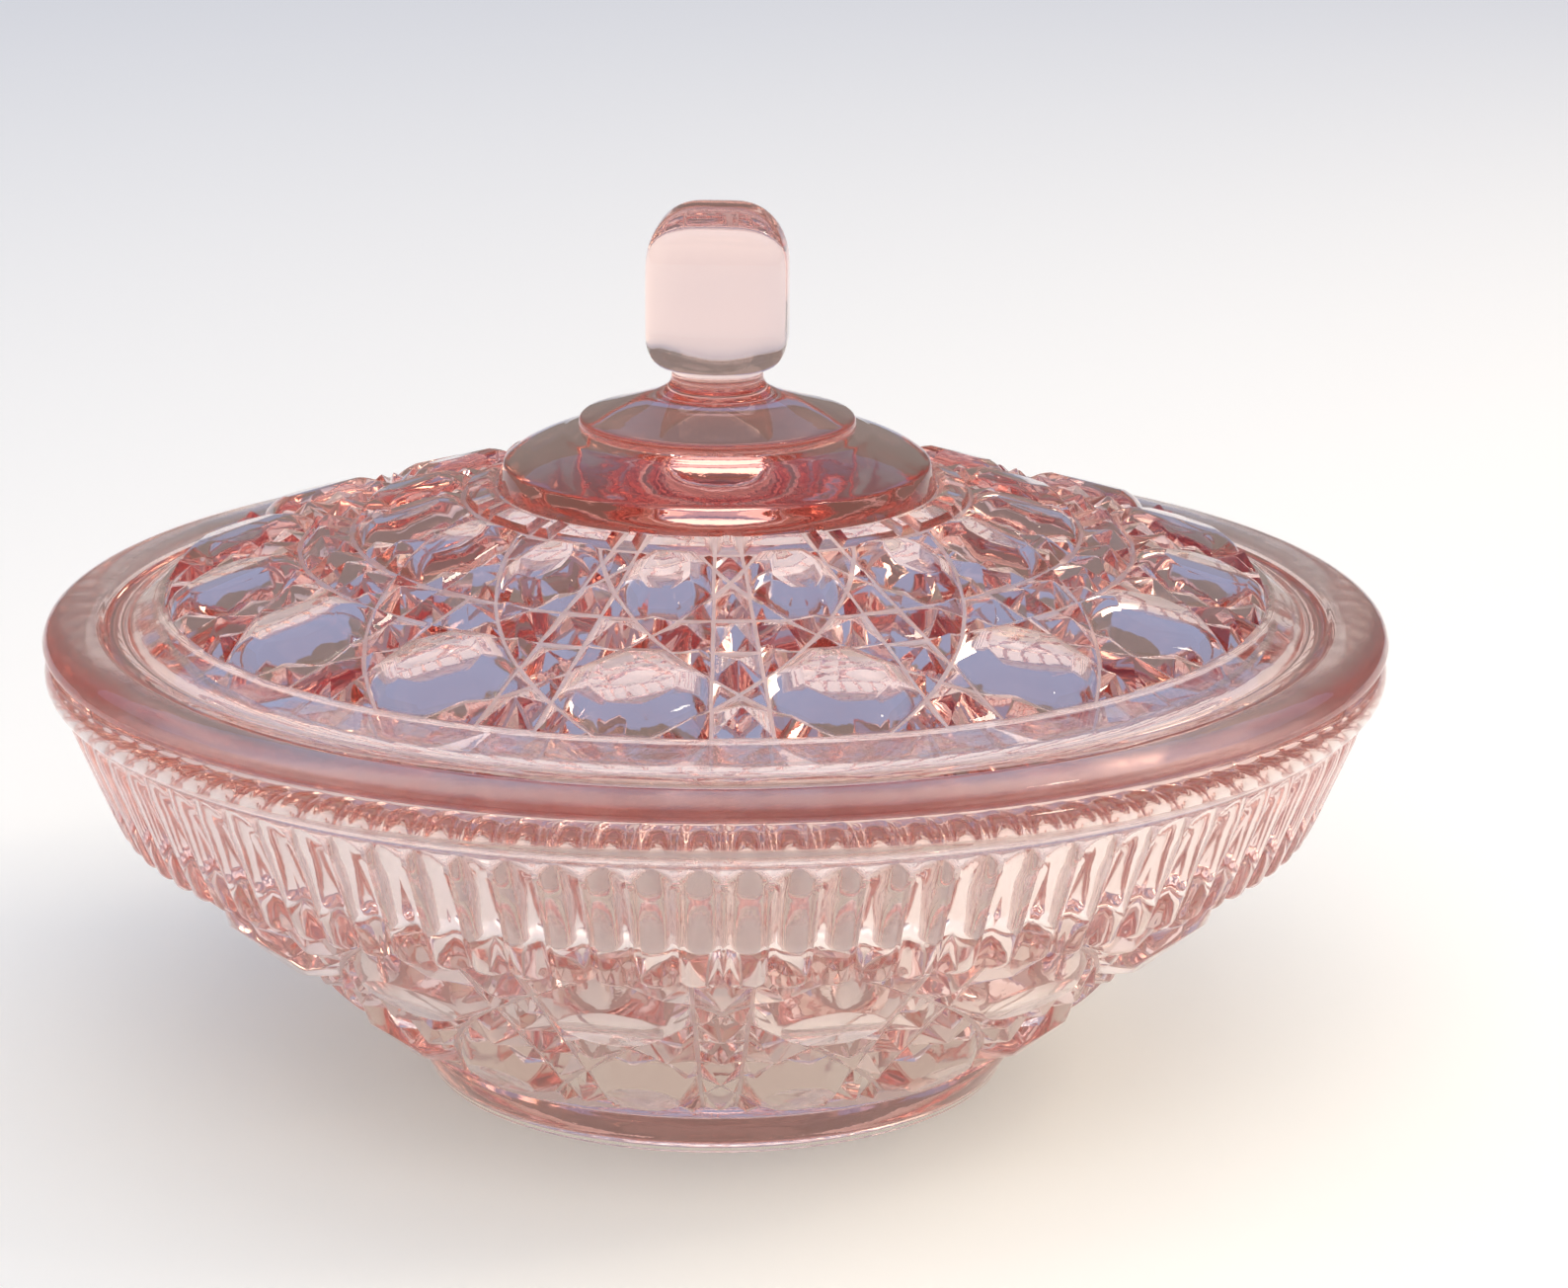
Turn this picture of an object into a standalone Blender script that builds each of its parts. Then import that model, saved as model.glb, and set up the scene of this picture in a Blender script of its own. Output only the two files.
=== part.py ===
"""Covered candy dish in pressed pink glass: a footed bowl and a lid that lifts off, each one casting.

Both castings are turned profiles about the Z axis with pressed relief joined on: flutes and two rings
of buttons round the bowl, two rings of buttons and a block knob on the lid. The dish stands on Z = 0.
Profile points are (radius, height) in millimetres; the meshes are in metres.
"""

import math

import bmesh
import bpy
from mathutils import Matrix, Vector

MM = 0.001

# Driving dimensions, in millimetres.
LID_RADIUS = 89.0
BOWL_RADIUS = 88.9
FOOT_RADIUS = 39.2
RIM_HEIGHT = 59.7
RIM_ROLL = 2.7
LID_GAP = 0.4
LID_SEAT = RIM_HEIGHT + LID_GAP
RING_BOTTOM = 56.6
COLLAR_RADIUS = 29.1
CAP_RADIUS = 18.3
CAP_HEIGHT = 88.5
NECK_RADIUS = 6.2
KNOB_BASE = 94.6
KNOB_TOP = 116.8
KNOB_WIDTH = 18.6
KNOB_DEPTH = 14.0
KNOB_TURN = math.radians(-4.0)

TURNED_STEPS = 48
RIB_COUNT = 96
SECTORS = 16
RELIEF_SINK = 1.2

# How far each casting's pattern is turned from having a sector boundary on -Y.
BOWL_TURN = math.radians(0.6)
LID_TURN = math.radians(2.4)

# The lower wall of the bowl and the field of the lid are cones: (radius, height) at each end.
BOWL_CONE = ((41.0, 7.5), (74.6, 35.6))
LID_FIELD = ((COLLAR_RADIUS, 79.0), (73.7, 65.3))

GLASS_COLOUR = (0.93, 0.62, 0.58, 1.0)
GLASS_ROUGHNESS = 0.05
GLASS_IOR = 1.5


def clear_scene():
    for thing in list(bpy.data.objects):
        bpy.data.objects.remove(thing, do_unlink=True)


def new_collection(name):
    collection = bpy.data.collections.new(name)
    bpy.context.scene.collection.children.link(collection)
    return collection


def glass_material(name):
    material = bpy.data.materials.new(name)
    material.use_nodes = True
    shader = material.node_tree.nodes["Principled BSDF"]
    shader.inputs["Base Color"].default_value = GLASS_COLOUR
    shader.inputs["Roughness"].default_value = GLASS_ROUGHNESS
    shader.inputs["Metallic"].default_value = 0.0
    shader.inputs["IOR"].default_value = GLASS_IOR
    shader.inputs["Transmission Weight"].default_value = 1.0
    return material


def arc(centre, radius, start, end, steps):
    """Points of a round stretch of a profile, its angles in degrees from the outward direction."""
    points = []
    for step in range(steps + 1):
        angle = math.radians(start + (end - start) * step / steps)
        points.append((centre[0] + radius * math.cos(angle), centre[1] + radius * math.sin(angle)))
    return points


def turned(name, profile, collection):
    """A solid turned about Z from a profile that starts and ends on the axis."""
    mesh = bpy.data.meshes.new(name)
    points = [(radius * MM, 0.0, height * MM) for radius, height in profile]
    mesh.from_pydata(points, [(i, i + 1) for i in range(len(points) - 1)], [])
    body = bpy.data.objects.new(name, mesh)
    collection.objects.link(body)
    screw = body.modifiers.new("turn", "SCREW")
    screw.axis = "Z"
    screw.steps = TURNED_STEPS
    screw.render_steps = TURNED_STEPS
    screw.use_merge_vertices = True
    screw.merge_threshold = 0.00002
    screw.use_smooth_shade = True
    return body


def object_of(name, bm, collection):
    bmesh.ops.recalc_face_normals(bm, faces=bm.faces)
    mesh = bpy.data.meshes.new(name)
    bm.to_mesh(mesh)
    bm.free()
    shape = bpy.data.objects.new(name, mesh)
    collection.objects.link(shape)
    return shape


def as_cutter(shape):
    shape.hide_render = True
    shape.display_type = "WIRE"


def join(body, shape):
    as_cutter(shape)
    union = body.modifiers.new("join " + shape.name, "BOOLEAN")
    union.operation = "UNION"
    union.solver = "EXACT"
    union.object = shape


def on_cone(cone, radius):
    """The height of the cone at a radius, and its slope, rise over run."""
    (inner_radius, inner_height), (outer_radius, outer_height) = cone
    slope = (outer_height - inner_height) / (outer_radius - inner_radius)
    return inner_height + slope * (radius - inner_radius), slope


def button_ring(bm, cone, outward, radius, count, start, base, top, height):
    """Octagonal bosses on a cone, centred on the bisectors of its sectors."""
    surface, slope = on_cone(cone, radius)
    normal = Vector((-slope, 0.0, 1.0)).normalized() * outward
    centre = Vector((radius, 0.0, surface)) + normal * (height - RELIEF_SINK) / 2
    tilt = normal.to_track_quat("Z", "Y").to_matrix().to_4x4()
    flat_to_side = Matrix.Rotation(math.pi / 8, 4, "Z")
    for index in range(count):
        turn = Matrix.Rotation(2 * math.pi * (index + 0.5) / count - math.pi / 2 + start, 4, "Z")
        bmesh.ops.create_cone(
            bm,
            cap_ends=True,
            segments=8,
            radius1=base * MM,
            radius2=top * MM,
            depth=(height + RELIEF_SINK) * MM,
            matrix=turn @ Matrix.Translation(centre * MM) @ tilt @ flat_to_side,
        )


def wall_flutes(collection):
    """Bars down the bowl's upper wall, with square ends that overhang the buttons."""
    crest = [(85.9, 53.0), (84.2, 48.6), (81.3, 41.0), (79.9, 37.5)]
    root = [(76.0, 37.2), (78.6, 42.0), (81.8, 50.0)]
    width = 3.7
    bm = bmesh.new()
    corners = [bm.verts.new((radius * MM, -width / 2 * MM, height * MM)) for radius, height in crest + root]
    face = bm.faces.new(corners)
    grown = bmesh.ops.extrude_face_region(bm, geom=[face])["geom"]
    raised = [part for part in grown if isinstance(part, bmesh.types.BMVert)]
    bmesh.ops.translate(bm, verts=raised, vec=(0.0, width * MM, 0.0))
    bmesh.ops.spin(
        bm,
        geom=bm.verts[:] + bm.edges[:] + bm.faces[:],
        cent=(0.0, 0.0, 0.0),
        axis=(0.0, 0.0, 1.0),
        angle=2 * math.pi * (RIB_COUNT - 1) / RIB_COUNT,
        steps=RIB_COUNT - 1,
        use_duplicate=True,
    )
    bmesh.ops.rotate(
        bm,
        verts=bm.verts,
        cent=(0.0, 0.0, 0.0),
        matrix=Matrix.Rotation(math.pi / RIB_COUNT + BOWL_TURN, 3, "Z"),
    )
    return object_of("flute_forms", bm, collection)


def bowl(parts, cutters):
    """Foot ring, flared wall, fluted upper wall and rolled rim, with the hollow inside."""
    inside = [(0.0, 7.2), (26.0, 7.4), (35.0, 9.0), (39.5, 12.2), (62.5, 31.8), (69.5, 37.2)]
    inside += [(74.2, 41.6), (77.2, 46.6), (79.8, 52.0), (82.4, 55.4), (83.2, 57.0)]
    rim = [(83.2, RIM_HEIGHT - 0.8), (84.0, RIM_HEIGHT)]
    rim += arc((BOWL_RADIUS - RIM_ROLL, RIM_HEIGHT - RIM_ROLL), RIM_ROLL, 90, -60, 6)
    rim += [(86.6, 54.0), (84.9, 51.8)]
    wall = [(83.0, 48.6), (81.4, 43.6), (78.9, 39.0), (77.0, 37.2)]
    foot = [*reversed(BOWL_CONE), (42.1, 6.2), (40.5, 2.9), (FOOT_RADIUS, 0.8)]
    foot += [(FOOT_RADIUS - 0.7, 0.0), (33.0, 0.0), (31.5, 1.8), (0.0, 2.4)]
    body = turned("bowl", inside + rim + wall + foot, parts)
    body.data.materials.append(glass_material("pink_glass_bowl"))

    join(body, wall_flutes(cutters))
    bm = bmesh.new()
    button_ring(bm, BOWL_CONE, -1, 67.2, SECTORS, BOWL_TURN, 8.6, 6.4, 2.7)
    button_ring(bm, BOWL_CONE, -1, 47.8, SECTORS, BOWL_TURN, 6.2, 4.6, 2.7)
    join(body, object_of("bowl_button_forms", bm, cutters))
    return body


def knob_form(collection):
    """The block knob: a rounded slab a little wider at its shoulders than at its foot."""
    bm = bmesh.new()
    bmesh.ops.create_cube(bm, size=1.0)
    height = KNOB_TOP - KNOB_BASE
    bmesh.ops.scale(bm, verts=bm.verts, vec=Vector((KNOB_WIDTH, KNOB_DEPTH, height)) * MM)
    for vert in bm.verts:
        if vert.co.z < 0.0:
            vert.co.x *= 0.95
            vert.co.y *= 0.95
    form = object_of("knob_form", bm, collection)
    form.location.z = (KNOB_BASE + height / 2) * MM
    form.rotation_euler.z = KNOB_TURN
    bevel = form.modifiers.new("round", "BEVEL")
    bevel.width = 4.6 * MM
    bevel.segments = 4
    return form


def lid(parts, cutters):
    """Rolled flange over a locating ring, a shallow cone, a stepped collar, cap and neck."""
    underside = [(0.0, 77.6), (16.0, 77.3), (24.5, 76.2), (30.0, 74.6), (70.0, 62.4), (76.0, 60.6)]
    ring = [(77.4, 59.0), (78.2, RING_BOTTOM), (80.6, RING_BOTTOM), (81.6, 58.0)]
    ring += [(81.6, LID_SEAT - 0.6), (82.2, LID_SEAT)]
    hollow = underside + ring
    flange = [(LID_RADIUS - 1.0, LID_SEAT), (LID_RADIUS, LID_SEAT + 0.9), (88.2, 62.3), (86.6, 63.2)]
    flange += [(84.2, 63.7), (81.2, 63.5), (78.7, 62.7), (76.0, 64.2)]
    collar = [LID_FIELD[1], LID_FIELD[0], (COLLAR_RADIUS - 0.5, 82.3), (27.6, 83.5), (20.2, 86.6)]
    cap = [(CAP_RADIUS, 86.8), (CAP_RADIUS, CAP_HEIGHT - 0.3), (CAP_RADIUS - 0.4, CAP_HEIGHT), (8.2, 91.6)]
    neck = [(NECK_RADIUS + 0.5, 92.8), (NECK_RADIUS, 93.8), (NECK_RADIUS, KNOB_BASE + 2.0)]
    neck += [(0.0, KNOB_BASE + 2.0)]
    # Listed from the underside's centre outward and up, this profile runs up its outer side.
    outer = list(reversed(flange + collar + cap + neck))
    body = turned("lid", outer + list(reversed(hollow)), parts)
    body.data.materials.append(glass_material("pink_glass_lid"))

    join(body, knob_form(cutters))
    bm = bmesh.new()
    button_ring(bm, LID_FIELD, 1, 64.0, SECTORS, LID_TURN, 9.0, 6.4, 2.6)
    button_ring(bm, LID_FIELD, 1, 41.0, SECTORS, LID_TURN, 6.2, 4.4, 2.3)
    join(body, object_of("lid_button_forms", bm, cutters))
    return body


def main():
    clear_scene()
    parts = new_collection("covered_candy_dish")
    cutters = new_collection("relief_forms")
    bowl(parts, cutters)
    lid(parts, cutters)


main()
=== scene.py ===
"""Covered candy dish in pressed pink glass: the fine surfaces and the glass of its two castings.

Each casting is one closed surface: rings turned about Z, reeds raised on a wall, and lattice cells
raised on a cone. Lengths are in millimetres until a mesh is made. Profile points are (radius, height),
with heights above what the dish stands on.
"""

import math

import bmesh
import bpy
import numpy as np
from mathutils import Euler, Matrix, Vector


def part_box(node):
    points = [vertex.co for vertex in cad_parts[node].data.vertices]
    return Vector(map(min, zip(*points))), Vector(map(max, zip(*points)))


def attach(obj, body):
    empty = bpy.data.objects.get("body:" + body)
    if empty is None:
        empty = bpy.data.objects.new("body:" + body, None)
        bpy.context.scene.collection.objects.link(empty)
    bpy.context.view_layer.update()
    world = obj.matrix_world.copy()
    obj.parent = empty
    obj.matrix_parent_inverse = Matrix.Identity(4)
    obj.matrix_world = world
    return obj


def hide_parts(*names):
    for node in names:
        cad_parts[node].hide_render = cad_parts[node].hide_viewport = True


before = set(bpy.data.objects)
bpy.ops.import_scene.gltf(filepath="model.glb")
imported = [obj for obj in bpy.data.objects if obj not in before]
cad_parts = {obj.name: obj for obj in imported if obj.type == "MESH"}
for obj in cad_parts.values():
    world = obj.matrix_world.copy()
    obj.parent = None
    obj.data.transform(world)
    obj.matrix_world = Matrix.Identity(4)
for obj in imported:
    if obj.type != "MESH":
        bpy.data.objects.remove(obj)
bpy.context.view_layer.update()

MM = 0.001

# Driving sizes, read from the frame.
LID_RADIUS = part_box("lid")[1].x / MM
BOWL_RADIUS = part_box("bowl")[1].x / MM
RIM_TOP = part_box("bowl")[1].z / MM
KNOB_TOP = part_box("lid")[1].z / MM
RING_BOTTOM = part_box("lid")[0].z / MM

RIM_ROLL = 2.7
SEAT_GAP = 0.4
LID_SEAT = RIM_TOP + SEAT_GAP
HOLLOW_TOP = 80.5

# The pattern repeats this many times round each casting.
SECTORS = 16
# How far each pattern is turned from having a sector boundary on -Y, and the knob from facing it.
BOWL_TURN = math.radians(0.6)
LID_TURN = math.radians(2.4)
KNOB_TURN = math.radians(-4.0)

# Points round a plain turned ring, round the lid's dome and cap, and round its knob.
PLAIN_COLUMNS = 288
CAP_COLUMNS = 256
KNOB_COLUMNS = 160

# Edges sharper than this stay crisp, and points nearer than this, in metres, are welded.
CRISP_EDGE = math.radians(32)
WELD = 0.000004


# ---------------------------------------------------------------- profiles


def arc(centre, radius, start, end, steps):
    """Points of a round stretch of a profile, its angles in degrees from the outward direction."""
    angles = np.radians(np.linspace(start, end, steps + 1))
    return [(centre[0] + radius * math.cos(a), centre[1] + radius * math.sin(a)) for a in angles]


def flowing(points, steps):
    """A smooth curve through the points, with this many steps between each two."""
    points = [np.array(p, float) for p in points]
    padded = [2 * points[0] - points[1], *points, 2 * points[-1] - points[-2]]
    curve = []
    for before, here, there, after in zip(padded, padded[1:], padded[2:], padded[3:]):
        for t in np.linspace(0.0, 1.0, steps, endpoint=False):
            bend = 2 * before - 5 * here + 4 * there - after
            turn = 3 * here - before - 3 * there + after
            curve.append(tuple(here + 0.5 * t * ((there - before) + t * (bend + t * turn))))
    return curve + [tuple(points[-1])]


def even_angles(count, turn=0.0):
    """Angles from +X of points spread evenly round the axis, the first of them turned from -Y."""
    return turn - math.pi / 2 + 2 * math.pi * np.arange(count) / count


# ---------------------------------------------------------------- surfaces


class Skin:
    """The points and faces of one casting, gathered ring by ring and cell by cell."""

    def __init__(self):
        self.points = []
        self.frosted = []
        self.faces = []

    def add(self, points, frosted=0.0):
        """New points, with their share of the full frosting. It returns their numbers."""
        first = len(self.points)
        self.points.extend(tuple(p) for p in np.asarray(points, float))
        self.frosted.extend([frosted] * (len(self.points) - first))
        return list(range(first, len(self.points)))

    def band(self, first, second):
        """The strip of faces between two closed loops of points that are in step."""
        for k in range(len(first)):
            after = (k + 1) % len(first)
            self.faces.append((first[k], first[after], second[after], second[k]))

    def fan(self, loop, point):
        """The faces from a closed loop of points to one point."""
        (tip,) = self.add([point])
        for k in range(len(loop)):
            self.faces.append((loop[k], loop[(k + 1) % len(loop)], tip))

    def ring(self, angles, radius, height, frosted=0.0):
        """A ring about the axis, with its angles from +X. Radius and height may differ along it."""
        angles = np.asarray(angles, float)
        radius = np.broadcast_to(radius, angles.shape)
        height = np.broadcast_to(height, angles.shape)
        points = np.stack([radius * np.cos(angles), radius * np.sin(angles), height], 1)
        return angles, self.add(points, frosted)

    def join(self, first, second):
        """The strip between two rings, with triangles where their points aren't in step."""
        (angles_a, a), (angles_b, b) = first, second
        if len(a) == len(b) and np.allclose(angles_a, angles_b):
            self.band(a, b)
            return
        whole = 2 * math.pi
        turned = np.round(((angles_b - angles_a[0] + math.pi) % whole) - math.pi, 9)
        shift = int(np.argmin(np.abs(turned)))
        b = b[shift:] + b[:shift]
        turned = (np.concatenate([angles_b[shift:], angles_b[:shift]]) - angles_b[shift]) % whole
        along_a = np.append((angles_a - angles_a[0]) % whole, whole)
        along_b = np.append(turned, whole)
        i = j = 0
        while i < len(a) or j < len(b):
            here_a, here_b = a[i % len(a)], b[j % len(b)]
            if j == len(b) or (i < len(a) and along_a[i + 1] <= along_b[j + 1]):
                i += 1
                self.faces.append((here_a, a[i % len(a)], here_b))
            else:
                j += 1
                self.faces.append((here_a, b[j % len(b)], here_b))

    def turned(self, profile, angles, after=None, frosted=0.0):
        """Rings along a profile, joined to each other and to the ring before them."""
        for radius, height in profile:
            ring = self.ring(angles, radius, height, frosted)
            if after is not None:
                self.join(after, ring)
            after = ring
        return after

    def centre(self, ring, height):
        """Closes a ring to a point on the axis."""
        self.fan(ring[1], (0.0, 0.0, height))

    def made(self, name, material):
        """The mesh object, welded and facing out, with its sharp edges left crisp."""
        mesh = bpy.data.meshes.new(name)
        mesh.from_pydata([tuple(c * MM for c in p) for p in self.points], [], self.faces)
        bm = bmesh.new()
        bm.from_mesh(mesh)
        frost = bm.verts.layers.float.new("frost")
        for vert, amount in zip(bm.verts, self.frosted):
            vert[frost] = amount
        bmesh.ops.remove_doubles(bm, verts=bm.verts, dist=WELD)
        bmesh.ops.recalc_face_normals(bm, faces=bm.faces)
        bm.to_mesh(mesh)
        bm.free()
        mesh.shade_smooth()
        mesh.set_sharp_from_angle(angle=CRISP_EDGE)
        mesh.materials.append(material)
        piece = bpy.data.objects.new(name, mesh)
        bpy.context.scene.collection.objects.link(piece)
        return piece


# ---------------------------------------------------------------- the pressed lattice


# A place on the lattice is (sectors from a sector boundary, rows): diagonals cross on the boundaries at
# rows 0 and 1, and halfway between them at row one half.
# A pair of upright lines runs this far each side of a boundary.
LINE_OFFSET = 0.132
# The rows of its level lines.
LEVEL_LINES = (0.351, 0.636)
# An edge longer than this gets extra points, at these shares of it.
LONG_EDGE = 0.1
EDGE_POINTS = (0.15, 0.5, 0.85)
# How near two places on the lattice, two radii or two middles of cells have to be to count as one.
SAME_PLACE = 1e-5
SAME_RADIUS = 1e-4
SAME_MIDDLE = 0.01

GROOVE = 0.26
# A small cell's groove takes up at most this share of it, and its sides rise at most this steeply.
WIDEST_GROOVE = 0.3
STEEPEST_SIDE = 0.75
# Share of the full frosting on the ground ring that the lid sits on; the grooves carry all of it.
SEAT_FROST = 0.5
GROOVE_FROST = 1.0


class Field:
    """A cone that carries the lattice. Its outward normal points up on the lid and down on the bowl."""

    def __init__(self, inner, outer, outward, turn, crossing, row, plain_ring=None):
        """Crossing is the radius of row 0 and row the width of one.

        Inside the plain ring, a row, only the upright lines run on.
        """
        self.inner, self.outer = inner, outer
        self.slope = (outer[1] - inner[1]) / (outer[0] - inner[0])
        self.outward = outward
        self.turn = turn
        self.crossing, self.row = crossing, row
        self.plain_ring = plain_ring

    def radius(self, level):
        return self.crossing + self.row * level

    def level(self, radius):
        return (radius - self.crossing) / self.row

    def angle(self, u):
        return self.turn - math.pi / 2 + 2 * math.pi * u / SECTORS

    def point(self, u, radius):
        height = self.inner[1] + self.slope * (radius - self.inner[0])
        angle = self.angle(u)
        return np.array([radius * math.cos(angle), radius * math.sin(angle), height])

    def axes(self, u):
        """Unit vectors round the cone, along its slope and out of it."""
        angle = self.angle(u)
        across = np.array([-math.sin(angle), math.cos(angle), 0.0])
        along = np.array([math.cos(angle), math.sin(angle), self.slope])
        along /= np.linalg.norm(along)
        out = np.cross(across, along)
        return across, along, out * math.copysign(1.0, out[2]) * self.outward

    def cells(self):
        """One sector's cells, as outlines of (u, radius, whether a corner), cut by the lattice's lines."""
        bm = bmesh.new()
        left, right = -LINE_OFFSET, 1 - LINE_OFFSET
        low, high = self.level(self.inner[0]), self.level(self.outer[0])
        corners = [(left, low), (right, low), (right, high), (left, high)]
        bm.faces.new([bm.verts.new((u, level, 0.0)) for u, level in corners])

        def cut(point, normal, above=-math.inf):
            faces = [f for f in bm.faces if f.calc_center_median().y > above]
            edges = {e for f in faces for e in f.edges}
            verts = {v for f in faces for v in f.verts}
            bmesh.ops.bisect_plane(
                bm,
                geom=[*faces, *edges, *verts],
                dist=SAME_PLACE,
                plane_co=(*point, 0.0),
                plane_no=(*normal, 0.0),
            )

        cut((LINE_OFFSET, 0.0), (1.0, 0.0))
        for level in LEVEL_LINES:
            cut((0.0, level), (0.0, 1.0))
        if self.plain_ring is not None:
            cut((0.0, self.plain_ring), (0.0, 1.0))
        crossed_above = low if self.plain_ring is None else self.plain_ring
        # The diagonals that start from the boundaries near enough to cross this sector.
        for start in range(-2, 4):
            cut((start, 0.0), (1.0, 1.0), crossed_above)
            cut((start, 0.0), (1.0, -1.0), crossed_above)
        outlines = []
        for face in bm.faces:
            outline = []
            for loop in face.loops:
                start, end = np.array(loop.vert.co.xy), np.array(loop.link_loop_next.vert.co.xy)
                outline.append((start, True))
                if np.linalg.norm(end - start) > LONG_EDGE:
                    outline.extend((start + (end - start) * t, False) for t in EDGE_POINTS)
            outlines.append([(p[0], self.radius(p[1]), corner) for p, corner in outline])
        bm.free()
        return outlines

    def edge_angles(self, outlines, radius):
        """The angles, round the whole cone, of the cells' points at a radius."""
        at_radius = {round(u, 6) for o in outlines for u, r, _ in o if abs(r - radius) < SAME_RADIUS}
        # A sector's last point is the next sector's first.
        us = sorted(at_radius)[:-1]
        return np.array([self.angle(u + k) for k in range(SECTORS) for u in us])


def raise_cell(skin, field, outline, sector, steps, middle=None):
    """Raises a cell in rings, one for each step.

    A step is (width scale, length scale, height, share of an oval in its outline).
    """
    base = np.array([field.point(u + sector, r) for u, r, _ in outline])
    if middle is None:
        middle = (np.mean([u for u, _, c in outline if c]), np.mean([r for _, r, c in outline if c]))
    centre = field.point(middle[0] + sector, middle[1])
    across, along, out = field.axes(middle[0] + sector)
    flat = np.stack([(base - centre) @ across, (base - centre) @ along], 1)
    reach = np.abs(flat).max(axis=0)
    # The same points, moved to the oval that reaches as far each way.
    oval = flat / np.hypot(*(flat / reach).T)[:, None]
    frosted = GROOVE_FROST
    previous = skin.add(base, frosted)
    for wide, long, height, rounding in steps:
        if wide == 0.0:
            skin.fan(previous, centre + out * height)
            return
        x, y = ((1.0 - rounding) * flat + rounding * oval).T * [[wide], [long]]
        z = ((base - centre) @ out) * min(wide, long) + height
        ring = skin.add(centre + x[:, None] * across + y[:, None] * along + z[:, None] * out, frosted)
        skin.band(previous, ring)
        previous, frosted = ring, 0.0
    skin.faces.append(tuple(previous))


def half_size(field, outline):
    """Half the width and half the length of a cell, in millimetres."""
    us, radii = [u for u, _, _ in outline], [r for _, r, _ in outline]
    width = (max(us) - min(us)) * 2 * math.pi / SECTORS * np.mean(radii)
    length = (max(radii) - min(radii)) * math.hypot(1.0, field.slope)
    return width / 2, length / 2


def pyramid(field, outline, height):
    """Steps of a small pointed cell: a groove floor, straight sides and a worn tip."""
    half = min(half_size(field, outline))
    groove = min(WIDEST_GROOVE, GROOVE / half)
    height = min(height, STEEPEST_SIDE * half)
    floor, foot, foot_height = 1 - groove, 1 - 1.4 * groove, 0.12
    tip, tip_share = 0.1, 0.93
    return [
        (floor, floor, 0.0, 0.0),
        (foot, foot, foot_height, 0.0),
        (tip, tip, height * tip_share, 0.0),
        (0.0, 0.0, height, 0.0),
    ]


def button(field, outline, facet, height, bulge, oval):
    """Steps of a button: a groove floor, a swelling flank and a flat facet, part octagon and part oval."""
    wide, long = half_size(field, outline)
    start = (1 - GROOVE / wide, 1 - GROOVE / long)
    steps = [(*start, 0.0, 0.0)]
    flank_steps, lip = 7, 0.98
    for k in range(1, flank_steps + 1):
        t = k / flank_steps
        inward = (1 - math.cos(t * math.pi / 2)) * bulge + t * (1 - bulge)
        upward = math.sin(t * math.pi / 2) * bulge + t * (1 - bulge)
        scale = [s + (f - s) * inward for s, f in zip(start, facet)]
        steps.append((*scale, height * lip * upward, oval * t))
    steps.append((facet[0] * lip, facet[1] * lip, height, oval))
    return steps


def plateau(field, outline):
    """Steps of a flat cell with broad bevels, between grooves."""
    wide, long = half_size(field, outline)
    bevel, height = 0.9, 0.9
    start = (1 - GROOVE / wide, 1 - GROOVE / long)
    inset = (1 - (GROOVE + bevel) / wide, 1 - (GROOVE + bevel) / long)
    return [(*start, 0.0, 0.0), (*inset, height, 0.0)]


def lattice(skin, field, outlines, buttons, button_height, bulge, oval, point_height):
    """Raises every cell of every sector.

    A button is (radius of its facet's middle, facet width, facet length), the last two as shares of
    its cell's. Buttons stand halfway between sector boundaries, in the cells with eight corners.
    """
    for outline in outlines:
        corners = [(u, r) for u, r, c in outline if c]
        middle_u = np.mean([u for u, _ in corners])
        low, high = min(r for _, r in corners), max(r for _, r in corners)
        steps, middle = pyramid(field, outline, point_height), None
        if abs(middle_u - 0.5) < SAME_MIDDLE and len(corners) >= 8:
            for radius, wide, long in buttons:
                if low < radius < high:
                    middle = (0.5, radius)
                    steps = button(field, outline, (wide, long), button_height, bulge, oval)
        elif field.plain_ring is not None and high < field.radius(field.plain_ring) + SAME_RADIUS:
            steps = plateau(field, outline)
        for sector in range(SECTORS):
            raise_cell(skin, field, outline, sector, steps, middle)


# ---------------------------------------------------------------- glass


PINK_DEPTH = (0.83, 0.34, 0.25)
# Both castings are one glass, so the gap between these densities is painted: the lid's denser tint is
# painted shade, darkening it for the darker surroundings seen through it, and the bowl's lighter tint is
# painted light for the brighter ground under it.
BOWL_DENSITY_WITH_PAINTED_LIGHT = 14.5
LID_DENSITY_WITH_PAINTED_SHADE = 28.0
# What full frosting adds to the glass's roughness.
FROST_ROUGHNESS = 0.42


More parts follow.
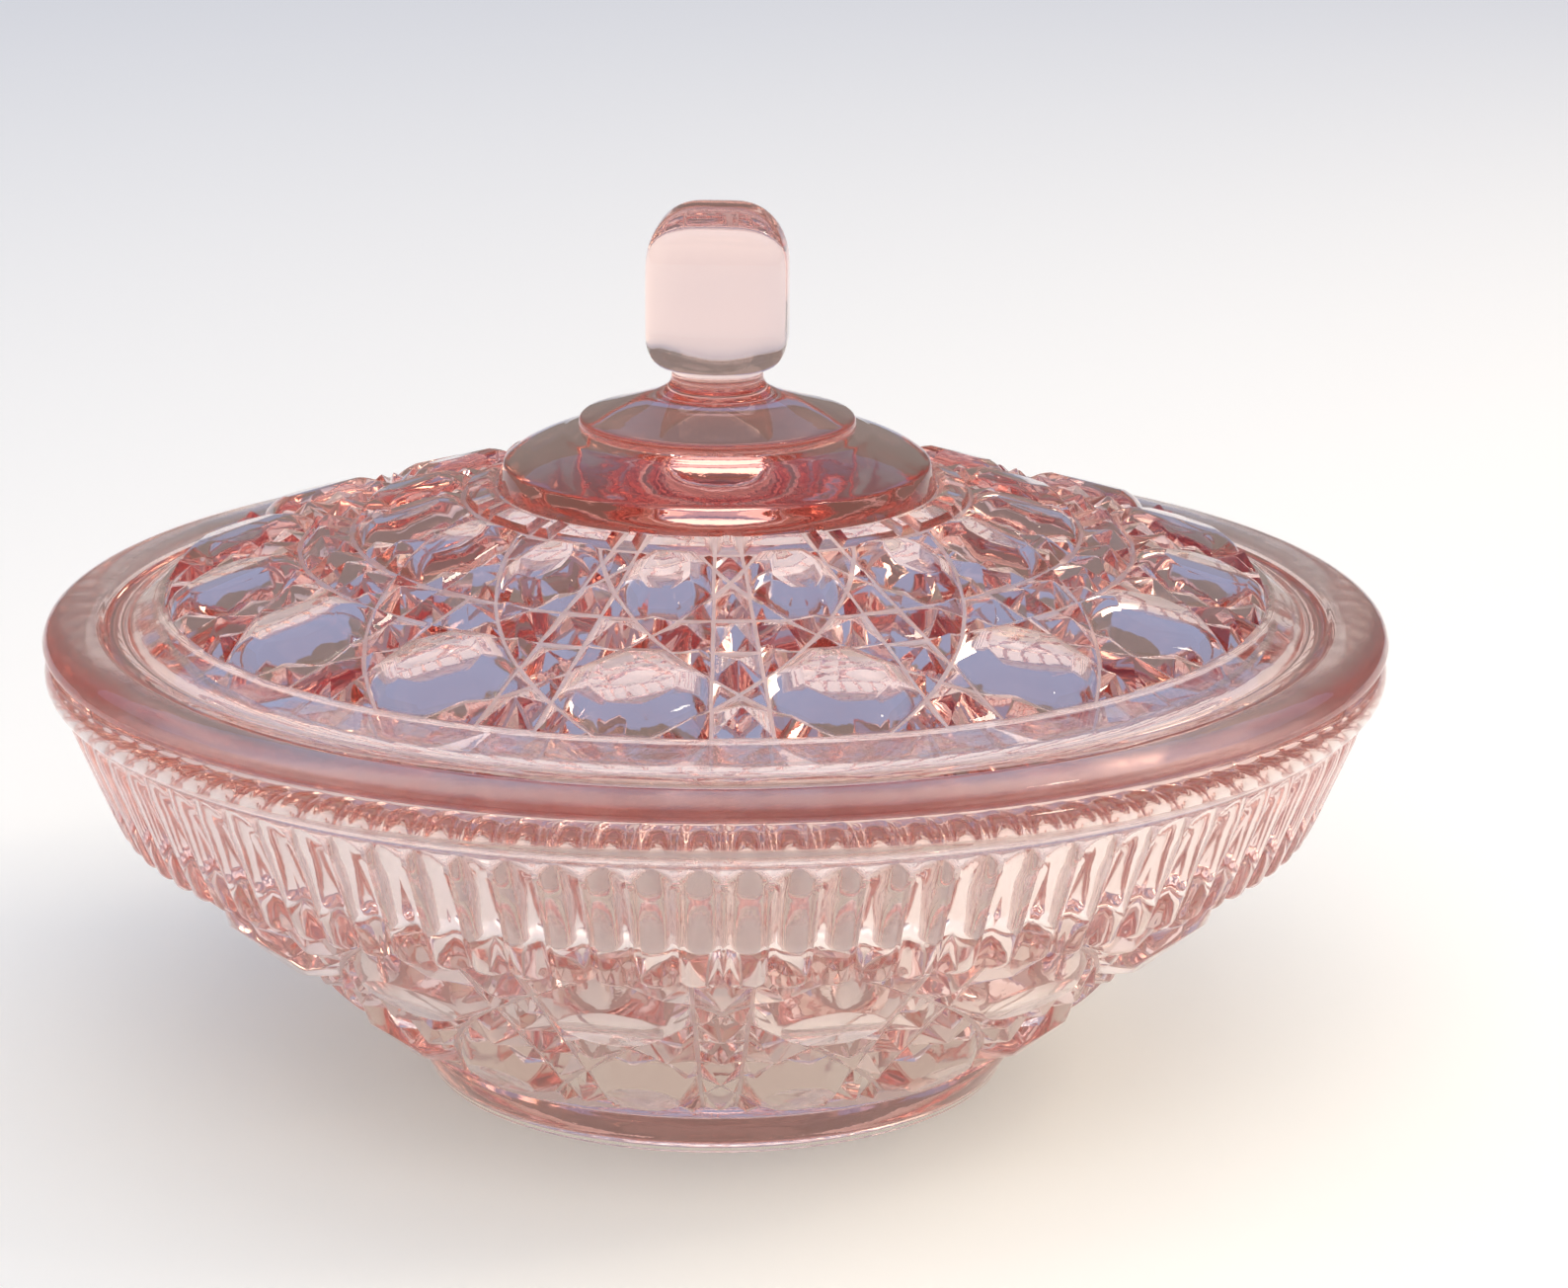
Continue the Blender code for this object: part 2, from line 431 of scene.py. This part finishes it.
def glass(name, colour, density, seed):
    """Fire-polished pressed glass: tinted in its depth, with faint waves and chill marks on its skin."""
    material = bpy.data.materials.new(name)
    material.use_nodes = True
    nodes, links = material.node_tree.nodes, material.node_tree.links
    shader = nodes["Principled BSDF"]
    shader.inputs["Transmission Weight"].default_value = 1.0
    shader.inputs["IOR"].default_value = 1.52
    shader.inputs["Base Color"].default_value = (1.0, 0.965, 0.955, 1.0)
    position = nodes.new("ShaderNodeTexCoord")
    shifted = nodes.new("ShaderNodeMapping")
    shifted.inputs["Location"].default_value = (seed, seed * 0.7, seed * 0.3)
    links.new(position.outputs["Object"], shifted.inputs["Vector"])

    def noise(scale, detail):
        texture = nodes.new("ShaderNodeTexNoise")
        texture.inputs["Scale"].default_value = scale
        texture.inputs["Detail"].default_value = detail
        links.new(shifted.outputs["Vector"], texture.inputs["Vector"])
        return texture.outputs["Fac"]

    def bump(height, strength, distance):
        relief = nodes.new("ShaderNodeBump")
        relief.inputs["Strength"].default_value = strength
        relief.inputs["Distance"].default_value = distance
        links.new(height, relief.inputs["Height"])
        return relief

    chill = noise(scale=900.0, detail=3.0)
    waves = bump(noise(scale=90.0, detail=1.5), strength=0.5, distance=0.00025)
    marks = bump(chill, strength=0.3, distance=0.00002)
    links.new(waves.outputs["Normal"], marks.inputs["Normal"])
    links.new(marks.outputs["Normal"], shader.inputs["Normal"])

    polish = nodes.new("ShaderNodeMapRange")
    polish.inputs["From Min"].default_value = 0.35
    polish.inputs["From Max"].default_value = 0.75
    polish.inputs["To Min"].default_value = 0.0
    polish.inputs["To Max"].default_value = 0.03
    links.new(chill, polish.inputs["Value"])
    frost = nodes.new("ShaderNodeAttribute")
    frost.attribute_name = "frost"
    roughness = nodes.new("ShaderNodeMath")
    roughness.operation = "MULTIPLY_ADD"
    roughness.inputs[1].default_value = FROST_ROUGHNESS
    links.new(frost.outputs["Fac"], roughness.inputs[0])
    links.new(polish.outputs["Result"], roughness.inputs[2])
    links.new(roughness.outputs["Value"], shader.inputs["Roughness"])

    depth = nodes.new("ShaderNodeVolumeAbsorption")
    depth.inputs["Color"].default_value = (*colour, 1.0)
    depth.inputs["Density"].default_value = density
    links.new(depth.outputs["Volume"], nodes["Material Output"].inputs["Volume"])
    return material


# ---------------------------------------------------------------- bowl


REEDS = 96
REED_COLUMNS = 14
REED_HEIGHT = 1.35
# Share of the pitch that a reed covers, and the length of its thumb-shaped top.
REED_WIDTH = 0.9
REED_ARCH = 4.6
# The powers that shape a reed's section: a higher first one flattens its crest, a lower second one
# steepens its sides.
REED_CREST = 2.2
REED_SIDES = 0.8
# The length of a reed's worn lower end, and the share of its height that is worn away there.
WORN_LENGTH = 0.9
WORN_SHARE = 0.22
# How far each way along the wall its direction is measured.
SLOPE_REACH = 0.4


def reed_swell(fraction, down, length):
    """Share of its height that a reed stands out, round across and along its top, with a square end."""
    across = (2 * fraction - 1) / REED_WIDTH
    over_top = max(0.0, 1.0 - down / REED_ARCH)
    off_middle = np.clip(np.hypot(across, over_top), 0.0, 1.0)
    swell = (1.0 - off_middle**REED_CREST) ** REED_SIDES
    near_end = max(0.0, 1.0 - (length - down) / WORN_LENGTH)
    return swell * (1.0 - WORN_SHARE * near_end**2)


def reeded_wall(skin, wall, after):
    """Reeds raised on a turned wall, listed from the top down. It returns the ring at their ends."""
    wall = np.array(wall)
    steps = np.hypot(*np.diff(wall, axis=0).T)
    down = np.concatenate([[0.0], np.cumsum(steps)])
    length = down[-1]
    arch_rows = np.linspace(0.0, REED_ARCH, 12)
    bar_rows = np.linspace(REED_ARCH, length - 1.0, 8)[1:]
    columns = np.arange(REEDS * REED_COLUMNS)
    angles = even_angles(len(columns), BOWL_TURN)
    fraction = (columns % REED_COLUMNS) / REED_COLUMNS

    def on_wall(distance):
        return np.array([np.interp(distance, down, wall[:, k]) for k in (0, 1)])

    for row in [*arch_rows, *bar_rows, length - 0.5, length]:
        place = on_wall(row)
        ahead, behind = on_wall(min(row + SLOPE_REACH, length)), on_wall(max(row - SLOPE_REACH, 0.0))
        along = (ahead - behind) / np.linalg.norm(ahead - behind)
        out = np.array([-along[1], along[0]])
        swell = REED_HEIGHT * reed_swell(fraction, row, length)
        ring = skin.ring(angles, place[0] + out[0] * swell, place[1] + out[1] * swell)
        skin.join(after, ring)
        after = ring
    return after


def bowl(material):
    """Inside, rim roll, reeded upper wall, lattice on the flared lower wall, and foot ring."""
    skin = Skin()
    inside = flowing([(4.0, 7.2), (26.0, 7.4), (35.0, 9.0), (39.5, 12.2)], 4)
    inside += flowing([(39.5, 12.2), (51.0, 22.0), (62.5, 31.8), (69.5, 37.2), (74.2, 41.6)], 4)[1:]
    inside += flowing([(74.2, 41.6), (77.0, 46.6), (79.8, 52.0), (82.4, 57.0), (83.1, 58.3)], 4)[1:]
    rim = [(83.3, RIM_TOP - 0.8), (83.5, RIM_TOP - 0.2), (84.0, RIM_TOP)]
    rim += arc((BOWL_RADIUS - RIM_ROLL, RIM_TOP - RIM_ROLL), RIM_ROLL, 90, -58, 12) + [(87.1, 54.4)]
    plain = even_angles(PLAIN_COLUMNS)
    start = skin.ring(plain, *inside[0])
    skin.centre(start, inside[0][1])
    edge = skin.turned(inside[1:] + rim, plain, start)

    wall = [(86.6, 54.0), (85.3, 52.5), (84.2, 50.4), (83.1, 47.8), (81.5, 44.0), (79.9, 40.2), (78.6, 37.5)]
    edge = reeded_wall(skin, flowing(wall, 4), edge)

    field = Field(
        inner=(41.4, 7.3),
        outer=(75.9, 37.0),
        outward=-1,
        turn=BOWL_TURN,
        crossing=47.8,
        row=18.9,
    )
    outlines = field.cells()
    edge = skin.turned([(77.2, 37.35)], edge[0], edge)
    rim_of_field = skin.ring(field.edge_angles(outlines, field.outer[0]), *field.outer)
    skin.join(edge, rim_of_field)
    lattice(
        skin,
        field,
        outlines,
        buttons=((67.3, 0.66, 0.5), (48.6, 0.67, 0.43)),
        button_height=2.7,
        bulge=0.12,
        oval=0.85,
        point_height=1.8,
    )

    foot = [field.inner, (41.7, 6.9), (42.1, 6.4)]
    foot += flowing([(42.2, 6.0), (41.6, 4.7), (40.5, 2.9), (39.5, 1.5), (39.2, 0.8)], 3)
    foot += arc((38.5, 0.7), 0.7, 0, -90, 4)
    foot += [(36.0, 0.0), (33.4, 0.0), (32.4, 0.5), (31.6, 1.6), (30.0, 2.2), (15.0, 2.4)]
    base = skin.turned(foot, field.edge_angles(outlines, field.inner[0]))
    skin.centre(base, foot[-1][1])
    return skin.made("bowl_glass", material)


# ---------------------------------------------------------------- lid


def knob_rings():
    """(half-width, half-depth, height, squareness) of the slab knob from its top down to its neck."""
    wide, deep, corner_wide, corner_deep, crown = 9.3, 6.9, 6.6, 4.6, 8.0
    shoulder, waist, neck, sole = KNOB_TOP - crown, 99.6, 6.15, 4.4
    crown_square, side_square, neck_square = 4.5, 4.8, 2.0
    rings = []
    for turn in np.radians(np.linspace(90, 0, 13)):
        inset = 1 - math.cos(turn)
        height = shoulder + crown * math.sin(turn)
        rings.append((wide - corner_wide * inset, deep - corner_deep * inset, height, crown_square))
    for t in (0.25, 0.5, 0.75, 1.0):
        rings.append((wide, deep, shoulder + (waist - shoulder) * t, side_square))
    for turn in np.radians(np.linspace(0, 90, 9))[1:]:
        grow = math.cos(turn)
        height = waist - sole * math.sin(turn)
        square = neck_square + (side_square - neck_square) * grow
        rings.append((neck + (wide - neck) * grow, neck + (deep - neck) * grow, height, square))
    return rings


def knob(skin, angles):
    """The knob's rings from its top down. It returns the last of them, at the neck."""
    after = None
    for wide, deep, height, square in knob_rings():
        across = np.abs(np.cos(angles - KNOB_TURN)) / wide
        depth = np.abs(np.sin(angles - KNOB_TURN)) / deep
        radius = (across**square + depth**square) ** (-1 / square)
        ring = skin.ring(angles, radius, height)
        if after is None:
            skin.centre(ring, height)
        else:
            skin.join(after, ring)
        after = ring
    return after


def lid(material):
    """Knob, cap and dome, lattice on the shallow cone, flange, frosted seat, locating ring and hollow."""
    skin = Skin()
    edge = knob(skin, even_angles(KNOB_COLUMNS, KNOB_TURN))
    cap = flowing([(6.05, 94.6), (6.1, 93.7), (6.7, 92.7), (8.4, 91.7)], 3) + [(12.5, 90.3), (16.6, 89.05)]
    cap += arc((17.5, 88.0), 0.8, 75, 0, 4) + [(18.35, 87.6), (18.3, 87.2), (18.0, 87.0)]
    cap += [(18.7, 86.8), (19.6, 86.65), (20.4, 86.5)]
    dome = flowing([(20.5, 86.45), (23.3, 85.5), (25.9, 84.3), (27.6, 83.2)], 3)
    dome += flowing([(27.6, 83.2), (28.15, 82.7), (28.45, 82.0), (28.8, 80.6)], 3)[1:]
    edge = skin.turned(cap + dome, even_angles(CAP_COLUMNS), edge)

    field = Field(
        inner=(29.1, 79.3),
        outer=(73.2, 65.65),
        outward=1,
        turn=LID_TURN,
        crossing=39.8,
        row=24.2,
        plain_ring=-0.26,
    )
    outlines = field.cells()
    inner = skin.ring(field.edge_angles(outlines, field.inner[0]), *field.inner)
    skin.join(edge, inner)
    lattice(
        skin,
        field,
        outlines,
        buttons=((64.2, 0.57, 0.62), (40.9, 0.53, 0.58)),
        button_height=2.5,
        bulge=0.55,
        oval=0.25,
        point_height=1.9,
    )
    outer = skin.ring(field.edge_angles(outlines, field.outer[0]), *field.outer)

    lip = (LID_RADIUS, LID_SEAT + 0.9)
    flange = flowing([(73.9, 65.5), (75.6, 64.5), (77.4, 63.3), (78.6, 62.7)], 4)
    flange += [(79.1, 62.75), (81.0, 63.45)]
    flange += flowing([(81.4, 63.55), (84.2, 63.75), (86.8, 63.3), (88.4, 62.3), lip], 4)
    flange += flowing([lip, (88.85, LID_SEAT + 0.3), (88.1, LID_SEAT)], 3)[1:]
    seat = [(87.8, LID_SEAT), (85.0, LID_SEAT), (82.5, LID_SEAT)]
    ring = [(82.2, LID_SEAT), (81.7, LID_SEAT - 0.3), (81.6, 58.0), (81.2, 57.2), (80.4, RING_BOTTOM)]
    ring += [(78.6, RING_BOTTOM), (78.0, 57.2), (77.4, 59.0), (76.6, 60.1), (75.2, 60.9)]
    hollow = [(70.0, 62.4), (50.0, 68.5), (30.0, 74.6), (25.5, 77.0), (20.0, 79.0), (12.0, 80.2)]
    hollow = flowing([*hollow, (3.0, HOLLOW_TOP)], 4)
    plain = even_angles(PLAIN_COLUMNS)
    edge = skin.turned(flange, plain, outer)
    edge = skin.turned(seat, plain, edge, SEAT_FROST)
    edge = skin.turned(ring + hollow, plain, edge)
    skin.centre(edge, HOLLOW_TOP)
    return skin.made("lid_glass", material)


# ---------------------------------------------------------------- stage, light and camera


# In metres: the floor's side, and the middle of the dish.
FLOOR_SIDE = 12.0
DISH_MIDDLE = (0.0, 0.0, 0.05)
# Each light's name, place, size in metres, power in watts, colour, what it is aimed at, and whether the
# glass mirrors it.
LIGHTS = (
    ("key_warm", (1.1, 0.2, 0.75), (0.7, 0.7), 9.0, (1.0, 0.84, 0.60), DISH_MIDDLE, False),
    ("sky", (0.0, 0.4, 2.2), (6.4, 6.4), 58.0, (0.18, 0.43, 0.98), (0.0, 0.4, 0.0), True),
    ("key_sparkle", (0.9, -0.3, 1.1), (0.12, 0.12), 0.8, (1.0, 0.90, 0.75), DISH_MIDDLE, True),
    ("top_soft", (0.0, -0.2, 1.3), (1.0, 0.9), 4.0, (1.0, 0.93, 0.78), DISH_MIDDLE, False),
    ("front_fill", (-0.1, -1.2, 1.1), (1.2, 0.9), 11.0, (1.0, 0.93, 0.80), (0.0, -0.3, 0.0), False),
)


def pale_floor():
    """A plain sheet. Its faint glow stands in for light that the glass would throw on it."""
    half = FLOOR_SIDE / 2
    mesh = bpy.data.meshes.new("floor")
    corners = [(-half, -half, 0), (half, -half, 0), (half, half, 0), (-half, half, 0)]
    mesh.from_pydata(corners, [], [(0, 1, 2, 3)])
    floor = bpy.data.objects.new("floor", mesh)
    bpy.context.scene.collection.objects.link(floor)
    paper = bpy.data.materials.new("floor_paper")
    paper.use_nodes = True
    shader = paper.node_tree.nodes["Principled BSDF"]
    shader.inputs["Base Color"].default_value = (0.85, 0.835, 0.79, 1.0)
    shader.inputs["Roughness"].default_value = 0.85
    shader.inputs["Emission Color"].default_value = (1.0, 0.95, 0.88, 1.0)
    shader.inputs["Emission Strength"].default_value = 0.2
    mesh.materials.append(paper)


def studio_light():
    """A warm room and soft boxes, with a blue panel overhead for the sky that the glass mirrors."""
    world = bpy.data.worlds.new("studio")
    world.use_nodes = True
    background = world.node_tree.nodes["Background"]
    background.inputs["Color"].default_value = (1.0, 0.93, 0.87, 1.0)
    background.inputs["Strength"].default_value = 0.28
    bpy.context.scene.world = world

    for name, place, size, power, colour, aim, mirrored in LIGHTS:
        light = bpy.data.lights.new(name, "AREA")
        light.shape = "RECTANGLE"
        light.size, light.size_y = size
        light.energy = power
        light.color = colour
        lamp = bpy.data.objects.new(name, light)
        lamp.location = place
        direction = Vector(aim) - lamp.location
        lamp.rotation_euler = direction.to_track_quat("-Z", "Y").to_euler()
        lamp.visible_camera = False
        lamp.visible_glossy = mirrored
        bpy.context.scene.collection.objects.link(lamp)


def camera():
    """A long lens a little over half a metre away, looking down at the photograph's angle."""
    lens = bpy.data.cameras.new("photo_view")
    lens.sensor_width = 36.0
    lens.lens = 101.42
    view = bpy.data.objects.new("photo_view", lens)
    view.location = (0.0, -0.57, 0.21375)
    down, right, roll = 0.26783, 0.01571, 0.00596
    aim = Euler((math.pi / 2 - down, 0.0, -right), "XYZ").to_matrix()
    view.rotation_euler = (aim @ Euler((0.0, 0.0, roll), "XYZ").to_matrix()).to_euler()
    lens.clip_start = 0.01
    bpy.context.scene.collection.objects.link(view)
    bpy.context.scene.camera = view


def main():
    # Light crosses many surfaces on its way through two pressed castings.
    cycles = bpy.context.scene.cycles
    cycles.max_bounces = cycles.transmission_bounces = cycles.glossy_bounces = 32
    bpy.context.scene.view_settings.view_transform = "Standard"
    dish = bowl(glass("pink_glass_bowl", PINK_DEPTH, BOWL_DENSITY_WITH_PAINTED_LIGHT, seed=1.0))
    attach(dish, "bowl_body")
    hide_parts("bowl")
    cover = lid(glass("pink_glass_lid", PINK_DEPTH, LID_DENSITY_WITH_PAINTED_SHADE, seed=5.0))
    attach(cover, "lid_body")
    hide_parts("lid")
    pale_floor()
    studio_light()
    camera()


main()
